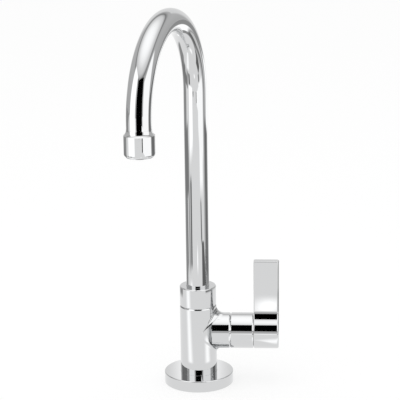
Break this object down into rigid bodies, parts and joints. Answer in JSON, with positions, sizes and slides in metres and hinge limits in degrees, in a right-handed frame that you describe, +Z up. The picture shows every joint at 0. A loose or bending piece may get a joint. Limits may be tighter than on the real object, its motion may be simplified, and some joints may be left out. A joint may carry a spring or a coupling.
{
  "type": "tall basin tap",
  "caption": "Tall chrome basin tap with a swivelling gooseneck spout, a side branch with a flat quarter-turn lever, and a threaded inlet shank.",
  "frame": {"origin": "centre of the foot flange's underside, on the upper face of the deck", "axes": "+Z up along the barrel, +X along the side branch towards the lever, -Y to the front"},
  "size_m": [0.1117, 0.1673, 0.3814],
  "materials": {
    "chrome": "polished chrome plate on brass",
    "brass": "machined brass",
    "steel": "stainless steel",
    "rubber": "matt black rubber",
    "slip_plastic": "smooth white low-friction plastic",
    "ceramic": "lapped white ceramic",
    "core_plastic": "moulded plastic"
  },
  "bodies": {
    "body": {"tap_body": "chrome", "base_flange": "chrome", "base_gasket": "rubber", "threaded_shank": "brass", "deck_rubber_washer": "rubber", "deck_steel_washer": "steel", "fixing_nut": "brass", "spout_nut": "chrome", "lower_slip_washer": "slip_plastic", "upper_slip_washer": "slip_plastic", "cartridge_seal": "rubber", "cartridge_body": "brass", "fixed_disc": "ceramic", "valve_sleeve": "chrome"},
    "spout": {"spout_tube": "chrome", "spout_ferrule": "brass", "spout_oring_lower": "rubber", "spout_oring_upper": "rubber", "outlet_collar": "chrome", "aerator_housing": "chrome", "aerator_core": "core_plastic", "aerator_screen": "steel", "aerator_washer": "rubber"},
    "lever": {"lever_handle": "chrome", "grub_screw": "steel", "cartridge_spindle": "brass", "moving_disc": "ceramic", "spindle_oring_inner": "rubber", "spindle_oring_outer": "rubber", "spindle_clip": "steel"}
  },
  "joints": [
    {"name": "spout_swivel", "type": "hinge", "parent": "body", "child": "spout", "pos_m": [0, 0, 0.08], "axis": [0, 0, 1], "continuous": true},
    {"name": "lever_turn", "type": "hinge", "parent": "body", "child": "lever", "pos_m": [0.0568, 0, 0.0449], "axis": [1, 0, 0], "range_deg": [0, 90]}
  ]
}
